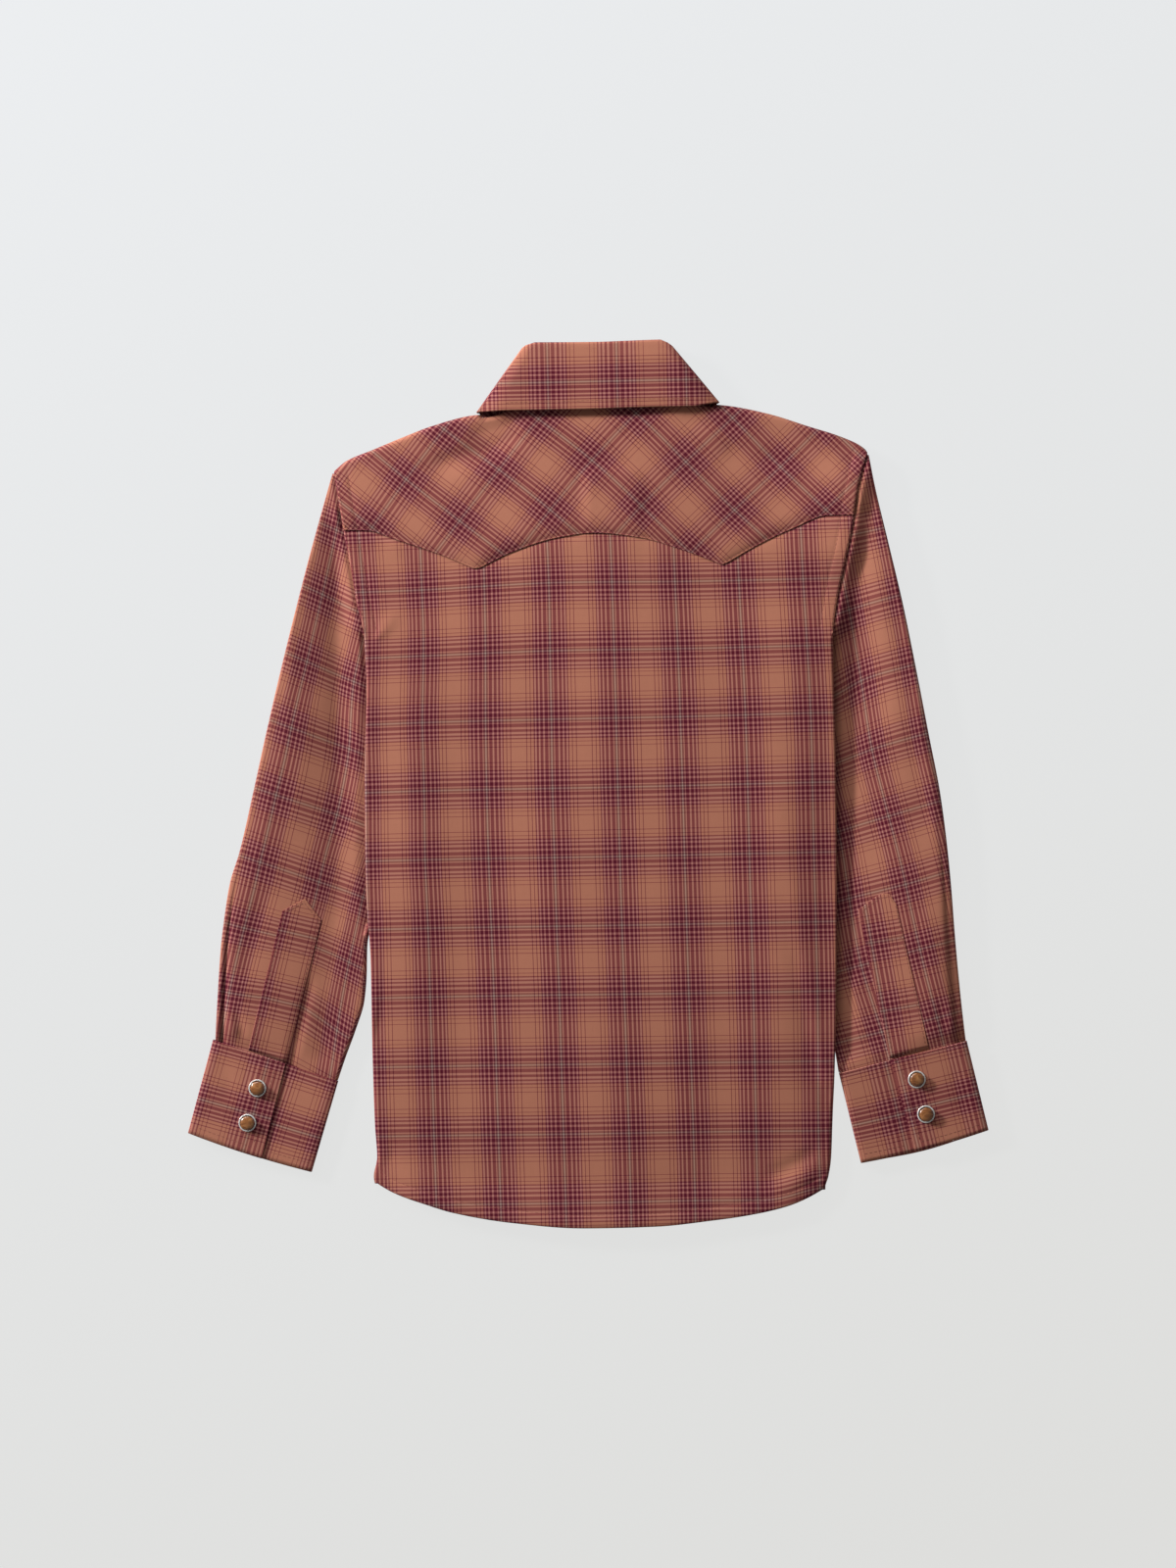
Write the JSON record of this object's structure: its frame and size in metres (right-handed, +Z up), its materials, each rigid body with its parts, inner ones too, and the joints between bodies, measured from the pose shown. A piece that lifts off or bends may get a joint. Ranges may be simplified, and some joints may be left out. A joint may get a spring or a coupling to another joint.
{
  "type": "western snap shirt",
  "caption": "Child's long-sleeved plaid western shirt with a pointed back yoke, snap cuffs and a turned-down collar, laid flat with its back up.",
  "frame": {"origin": "centre of the bounding box's bottom face, on the surface the shirt lies on", "axes": "+Y from the hem to the collar, +X to the right as the back is seen, +Z up from the surface, towards the back"},
  "size_m": [0.4906, 0.5435, 0.0098],
  "materials": {
    "plaid": "matt cotton plaid in rust, burgundy and grey",
    "snap_ring": "silver",
    "snap_cap": "brown marbled pearl"
  },
  "bodies": {
    "root": {"back": "plaid", "yoke_back": "plaid", "front_left": "plaid", "front_right": "plaid", "front_band": "plaid", "collar_leaf": "plaid", "collar_stand": "plaid", "sleeve_left": "plaid", "sleeve_right": "plaid", "sleeve_placket_left": "plaid", "sleeve_placket_right": "plaid", "cuff_left": "plaid", "cuff_right": "plaid", "cuff_snap_ring_left_1": "snap_ring", "cuff_snap_ring_left_2": "snap_ring", "cuff_snap_ring_right_1": "snap_ring", "cuff_snap_ring_right_2": "snap_ring", "cuff_snap_cap_left_1": "snap_cap", "cuff_snap_cap_left_2": "snap_cap", "cuff_snap_cap_right_1": "snap_cap", "cuff_snap_cap_right_2": "snap_cap", "front_snap_1": "snap_cap", "front_snap_2": "snap_cap", "front_snap_3": "snap_cap", "front_snap_4": "snap_cap", "front_snap_5": "snap_cap", "front_snap_6": "snap_cap", "front_snap_7": "snap_cap"}
  },
  "joints": []
}
